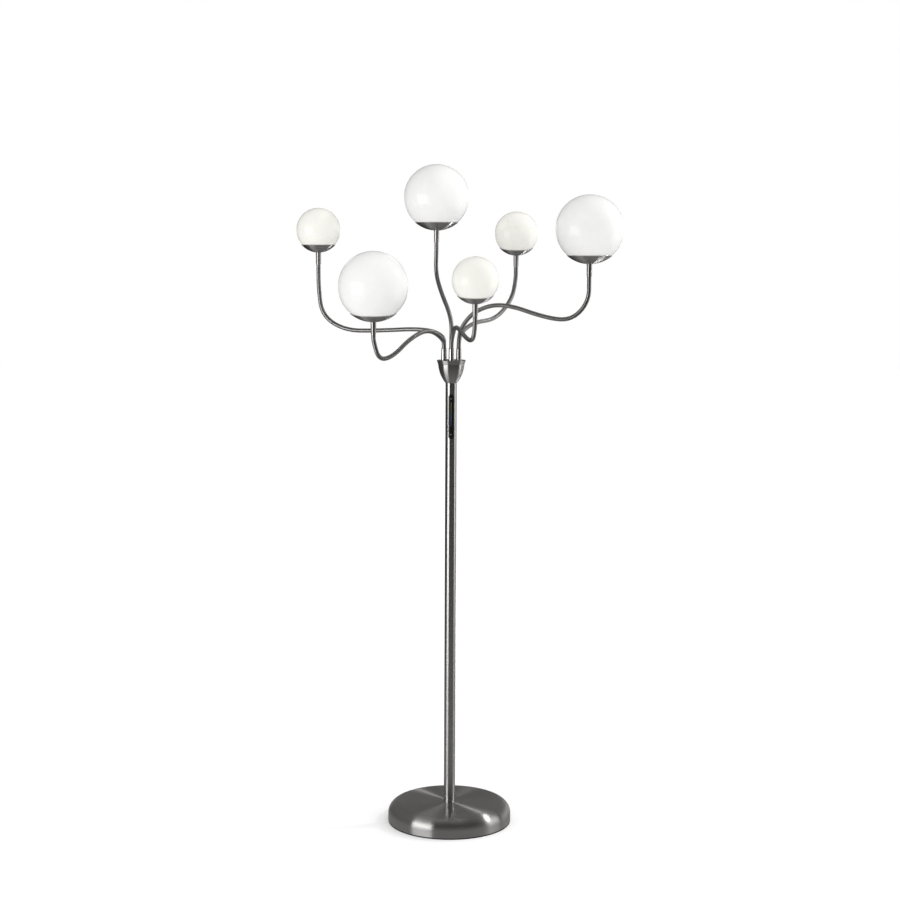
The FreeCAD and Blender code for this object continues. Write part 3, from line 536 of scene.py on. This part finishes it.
material, shade = start_material("black_lens")
at = shade.node("ShaderNodeTexCoord", output="Object")
lens_x = shade.node("ShaderNodeSeparateXYZ", values={0: at}, output="X")
lens_z = shade.node("ShaderNodeSeparateXYZ", values={0: at}, output="Z")
up_strip = (lens_z - STRIP_LOW.z) / STRIP_HEIGHT
from_middle = shade.maths("ABSOLUTE", lens_x)
up_line = (up_strip - LINE_ENDS[0]) / (LINE_ENDS[1] - LINE_ENDS[0])
beside = 1 - step_between(from_middle, LINE_WIDTH * 0.35, LINE_WIDTH * 0.65)
within = step_between(up_line, 0.0, 0.04) * (1 - step_between(up_line, 0.96, 1.0))
line_colour = shade.node("ShaderNodeValToRGB", {"stops": LINE_STOPS}, {"Fac": up_line})
printed = mix_colours(beside * within, LENS_BLACK, line_colour)
for share in DOT_SHARES:
    rise = lens_z - (STRIP_LOW.z + share * STRIP_HEIGHT)
    away = shade.maths("SQRT", lens_x * lens_x + rise * rise)
    in_dot = 1 - step_between(away, DOT_RADIUS * 0.7, DOT_RADIUS)
    printed = mix_colours(in_dot, printed, DOT_COLOUR)
smears = noise(shade, at, 60.0, 3.0)
lens_material = end_material(
    material, shade, Base_Color=printed, Roughness=0.20 + smears * 0.10, IOR=1.40)
dress(lens_material, "touch_strip")
print("the touch strip is", round(STRIP_HEIGHT, 3), "m long")

# %% [markdown]
# ## Foam, rubber and what is hidden
#
# The rest hardly shows.  The foam pad that the lamp stands on is a thin dark line round the foot,
# and the rubber bush for the lead is a dot at the back.  The cast weight, and the screws, posts and
# boards inside, are seen only when the lamp comes apart.  They all share one recipe, a colour
# broken by a grain, with the same grain as a low bump.  The grain is coarse on cast iron and fine
# on foam and plating, and only its numbers change.


# %% Foam, rubber and hidden parts
def grained(name, colour, darker, scale, roughness, height, metallic=0.0):
    """One colour broken by noise of a given scale, with the same noise as a bump."""
    material, shade = start_material(name)
    at = shade.node("ShaderNodeTexCoord", output="Object")
    grain = noise(shade, at, scale, 4.0, 0.6)
    broad = noise(shade, at, scale / 12, 2.0)
    return end_material(
        material, shade, Metallic=metallic,
        Base_Color=mix_colours(step_between(grain * 0.7 + broad * 0.3, 0.3, 0.7), darker, colour),
        Roughness=roughness + (grain - 0.5) * 0.15,
        Normal=bump(shade, grain, 0.6, height))


dress(grained("black_foam", grey(0.035), grey(0.015), 900.0, 0.92, 0.0004), "base_pad")
dress(grained("black_rubber", grey(0.030), grey(0.018), 500.0, 0.62, 0.0001), "cord_inlet_bush")
dress(grained("cast_iron", grey(0.10), grey(0.05), 260.0, 0.75, 0.0006, 0.6), "base_weight")
dress(grained("zinc_plate", grey(0.60), grey(0.48), 700.0, 0.36, 0.00005, 1.0),
      "threaded_nipples", "nipple_nuts", "nipple_washers", "arm_root_nuts", "pole_couplers")
dress(grained("lead_sheath", grey(0.75), grey(0.68), 300.0, 0.45, 0.0001), "wiring_harness")
dress(grained("board_green", (0.02, 0.16, 0.06, 1), (0.01, 0.10, 0.04, 1), 400.0, 0.40, 0.0001),
      "touch_board")
posts = grained("turned_aluminium", grey(0.72), grey(0.62), 800.0, 0.34, 0.00005, 1.0)
boards = grained("board_white", grey(0.80), grey(0.72), 400.0, 0.45, 0.0001)
for name in HEADS:
    dress(posts, f"{name}_light_mount")
    dress(boards, f"{name}_light_board")
print("every node of the frame has a finish")

# %% [markdown]
# ## Where each arm bends
#
# A gooseneck is bent by hand at a few places and flows between them.  The points below are those
# bends, in metres from the arm's root: how far out and how far above the cup's plate.  Each arm
# starts upright in the cup and ends straight along the axis of its head, so its first two and last
# three points are worked out.
#
# An arm's other numbers are the bearings of its root in the cup and of its run, in degrees, the
# straight length below its head, half the length of its bend zone, and the seat of its head.

# %% Bends of the arms
ROOT_RING = 0.019         # radius of the ring of roots in the cup
SLEEVE_DEPTH = 0.0197     # a gooseneck's length inside a sleeve
SLEEVE_FLOOR = 0.0073     # a sleeve's seat to the gooseneck's end
PLATE_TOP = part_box("cup_plate")[1].z
ARMS = {
    "left": {
        "root": 150.0, "heading": 157.2, "neck": 0.078, "flex": 0.036, "end": (0.312, 0.237),
        "bends": [(0, 0.056), (0.050, 0.070), (0.165, 0.062), (0.246, 0.061), (0.304, 0.094)],
    },
    "front_left": {
        "root": 210.0, "heading": 223.1, "neck": 0.042, "flex": 0.022, "end": (0.206, 0.093),
        "bends": [(0, 0.048), (0.046, 0.073), (0.100, 0.054), (0.150, 0.016), (0.190, 0.010)],
    },
    "top": {
        "root": 90.0, "heading": 103.1, "neck": 0.046, "flex": 0.026, "end": (0.155, 0.288),
        "bends": [(0, 0.040), (-0.003, 0.094), (0.112, 0.151), (0.162, 0.192)],
    },
    "front": {
        "root": 270.0, "heading": 287.9, "neck": 0.050, "flex": 0.024, "end": (0.163, 0.133),
        "bends": [(0, 0.042), (0.012, 0.064), (0.034, 0.082), (0.110, 0.054), (0.150, 0.054)],
    },
    "right": {
        "root": 330.0, "heading": 351.9, "neck": 0.082, "flex": 0.036, "end": (0.287, 0.216),
        "bends": [(0, 0.044), (0.004, 0.074), (0.036, 0.113), (0.097, 0.130), (0.195, 0.097),
                  (0.250, 0.093)],
    },
    "back_right": {
        "root": 30.0, "heading": 55.2, "neck": 0.058, "flex": 0.030, "end": (0.233, 0.232),
        "bends": [(0, 0.040), (0.007, 0.062), (0.060, 0.083), (0.148, 0.086), (0.216, 0.129)],
    },
}


def control_points(name):
    """Control points of an arm's middle line, and the axis of its head."""
    arm = ARMS[name]
    bearing, heading = math.radians(arm["root"]), math.radians(arm["heading"])
    lean = math.radians(HEADS[name][1])
    root = Vector((ROOT_RING * math.cos(bearing), ROOT_RING * math.sin(bearing), PLATE_TOP))
    outward = Vector((math.cos(heading), math.sin(heading), 0))
    upward = Vector((0, 0, 1))
    axis = Vector((0, -math.sin(lean), math.cos(lean)))
    end = root + outward * arm["end"][0] + upward * arm["end"][1]
    mouth = SLEEVE_FLOOR + SLEEVE_DEPTH
    points = [root + upward * SLEEVE_FLOOR, root + upward * mouth]
    points += [root + outward * reach + upward * rise for reach, rise in arm["bends"]]
    points += [end - axis * arm["neck"], end - axis * mouth, end - axis * SLEEVE_FLOOR]
    return points, axis


print("the longest arm reaches", max(arm["end"][0] for arm in ARMS.values()), "m")

# %% [markdown]
# ## A smooth line through the bends
#
# A polyline through those points would kink, and arcs stitched between straight runs look like bent
# wire.  A quadratic NURBS that takes the bends as its control points touches every run at its
# middle and turns smoothly in between.  Blender works it out, and numpy then walks along it at even
# steps.


# %% A NURBS line, walked at even steps
def smooth_line(points):
    """Points along the quadratic NURBS with these control points, clamped at both ends."""
    curve = bpy.data.curves.new("line", "CURVE")
    curve.dimensions = "3D"
    curve.resolution_u = 64
    spline = curve.splines.new("NURBS")
    spline.points.add(len(points) - 1)
    for control, point in zip(spline.points, points):
        control.co = (*point, 1.0)
    spline.order_u = 3
    spline.use_endpoint_u = True
    holder = bpy.data.objects.new("line", curve)
    mesh = bpy.data.meshes.new_from_object(holder)
    places = np.empty(3 * len(mesh.vertices))
    mesh.vertices.foreach_get("co", places)
    bpy.data.objects.remove(holder)
    bpy.data.curves.remove(curve)
    bpy.data.meshes.remove(mesh)
    return places.reshape(-1, 3)


def distances(line):
    """How far along the line each of its points lies."""
    steps = np.linalg.norm(np.diff(line, axis=0), axis=1)
    return np.concatenate([[0.0], np.cumsum(steps)])


def walk(line, along):
    """Points of the line at the given distances."""
    marks = distances(line)
    return np.stack([np.interp(along, marks, line[:, axis]) for axis in range(3)], axis=1)


print("a test line is", round(distances(smooth_line(control_points("left")[0]))[-1], 3), "m long")

# %% [markdown]
# ## The wound skin
#
# A gooseneck is a round steel wire wound into a spring, with a second wire of triangular section
# wound between its turns, so its skin is a row of low, rounded ribs that climb like a screw.  The
# surface is a function of two numbers: the distance s along the line, and the angle a round it.
# Its radius is the tube's, less a groove whose depth goes with s / pitch - a / turn.  The whole
# skin is one grid.  It goes out along the outside and back along the bore, and closes on itself,
# so the tube has a wall and no open edge.

# %% Gooseneck surface
TUBE_RADIUS = 0.0048
BORE_RADIUS = 0.0025
PITCH = 0.0019
GROOVE = 0.00022
ROWS_PER_TURN = 6
COLUMNS = 20
STEP = 0.0005             # metres to either side of a point, to find which way the line goes


def groove_depth(turns):
    """0 on a rib's top and 1 at the bottom of the groove, for a place counted in turns."""
    return (0.5 - 0.5 * np.cos(2 * math.pi * turns)) ** 2


def tube_grid(line, start, finish, across):
    """Points of the tube from start to finish along the line, and how deep in a groove each is.

    A point is line(s) + radius * (cos(a) * side + sin(a) * up), where side is the direction across
    the line, kept square to it, and up is square to both.  The way out has six rows a turn, and the
    way back, along the smooth bore, has one.
    """
    rows = max(2, round((finish - start) / PITCH * ROWS_PER_TURN)) + 1
    out = np.linspace(start, finish, rows)
    if rows % ROWS_PER_TURN == 1:
        back = out[::-ROWS_PER_TURN]
    else:
        back = np.linspace(finish, start, rows // ROWS_PER_TURN)
    along = np.concatenate([out, back])
    angle = np.linspace(0, 2 * math.pi, COLUMNS, endpoint=False)
    centre = walk(line, along)
    ahead = walk(line, along + STEP) - walk(line, along - STEP)
    ahead /= np.linalg.norm(ahead, axis=1, keepdims=True)
    side = across - ahead * (ahead @ across)[:, None]
    side /= np.linalg.norm(side, axis=1, keepdims=True)
    up = np.cross(side, ahead)
    depth = groove_depth(along[:, None] / PITCH - angle[None, :] / (2 * math.pi))
    depth[len(out):] = 0.0
    is_outside = np.arange(len(along))[:, None] < len(out)
    radius = np.where(is_outside, TUBE_RADIUS - GROOVE * depth, BORE_RADIUS)
    ring = (np.cos(angle)[None, :, None] * side[:, None, :]
            + np.sin(angle)[None, :, None] * up[:, None, :])
    return centre[:, None, :] + radius[:, :, None] * ring, depth


print("a rib every", 1000 * PITCH, "mm")

# %% [markdown]
# ## From a grid to a mesh
#
# A mesh wants a list of points and, for each face, the numbers of its corners.  The points of the
# grid are numbered row by row, and rolling that table of numbers by one row or one column gives
# every point's neighbours.  So all faces come out at once, also those that close the skin.


# %% From a grid to a mesh
def grid_mesh(name, points, layers):
    """Quads over a grid that closes on itself both ways; each layer is a named attribute."""
    rows, columns = points.shape[:2]
    index = np.arange(rows * columns).reshape(rows, columns)
    ahead, beside = np.roll(index, -1, axis=0), np.roll(index, -1, axis=1)
    corner = np.roll(ahead, -1, axis=1)
    quads = np.stack([index, ahead, corner, beside], axis=-1).reshape(-1, 4)
    mesh = bpy.data.meshes.new(name)
    mesh.from_pydata(points.reshape(-1, 3).tolist(), [], quads.tolist())
    for layer, values in layers.items():
        attribute = mesh.attributes.new(layer, "FLOAT", "POINT")
        attribute.data.foreach_set("value", values.ravel().astype(np.float32))
    mesh.polygons.foreach_set("use_smooth", np.ones(len(quads), bool))
    mesh.update()
    piece = bpy.data.objects.new(name, mesh)
    bpy.context.scene.collection.objects.link(piece)
    return piece


print("each turn of the skin has", ROWS_PER_TURN * COLUMNS, "quads")

# %% [markdown]
# ## Satin steel for the goosenecks
#
# The arms are plated like the tube but not brushed, because a pad can't reach between the ribs:
# they are satin, and a little polished on the ribs where hands bend them.  The grooves get painted
# shade: a dark grey where shade falls between the ribs.
# The grid already knows how deep each point lies, and carries it as an attribute for the shader.

# %% Gooseneck finish
# The dark grey in the grooves is painted shade, where shade falls between the ribs.
SATIN, HANDLED, GROOVE_PAINTED_SHADE = grey(0.48, 0.02), grey(0.55, 0.02), grey(0.13, 0.02)

material, shade = start_material("gooseneck_satin")
depth = shade.node("ShaderNodeAttribute", {"attribute_name": "groove"}, output="Fac")
at = shade.node("ShaderNodeTexCoord", output="Object")
handled = noise(shade, at, 35.0, 3.0)
worn = mix_colours(handled, SATIN, HANDLED)
gooseneck_satin = end_material(
    material, shade, Metallic=1.0,
    Base_Color=mix_colours(step_between(depth, 0.2, 0.9), worn, GROOVE_PAINTED_SHADE),
    Roughness=0.22 + handled * 0.06 + depth * 0.2)
print("satin finish for the arms")

# %% [markdown]
# ## Six arms, each in two lengths
#
# An arm swings at its root and nods below its head.  The lower length rides on the arm.  The upper
# one is the length that bends between the arm and the head, and here it stays where it is made.
# The two lengths meet on a rib, below the bend zone.


# %% Arms
def gooseneck(name):
    """Both lengths of one arm's gooseneck."""
    arm = ARMS[name]
    points, axis = control_points(name)
    line = smooth_line(points)
    marks = distances(line)
    between_last_bends = np.array((points[-5] + points[-4]) / 2)
    meeting = marks[np.argmin(np.linalg.norm(line - between_last_bends, axis=1))]
    meeting = round(meeting / PITCH) * PITCH
    heading = math.radians(arm["heading"])
    across = np.array((-math.sin(heading), math.cos(heading), 0.0))
    lengths = {
        f"{name}_gooseneck": (0.0, meeting),
        f"{name}_gooseneck_neck": (meeting, marks[-1]),
    }
    pieces = []
    for node, (start, finish) in lengths.items():
        grid, depth = tube_grid(line, start, finish, across)
        piece = grid_mesh(f"{node}_skin", grid, {"groove": depth})
        piece.data.materials.append(gooseneck_satin)
        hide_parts(node)
        pieces.append(piece)
    lower, upper = pieces
    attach(lower, f"{name}_arm")
    hinge = Vector(joints[f"{name}_nod"]["pos_m"])
    zone = axis * arm["flex"]
    tuple(hinge - zone)
    tuple(hinge + zone)
    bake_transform(upper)
    print(name, "gooseneck of", round(marks[-1], 3), "m")


for name in ARMS:
    gooseneck(name)

# %% [markdown]
# ## Size and finish
#
# The looks may not change how much room the lamp takes.

# %% Size and finish
print("the lamp is finished")
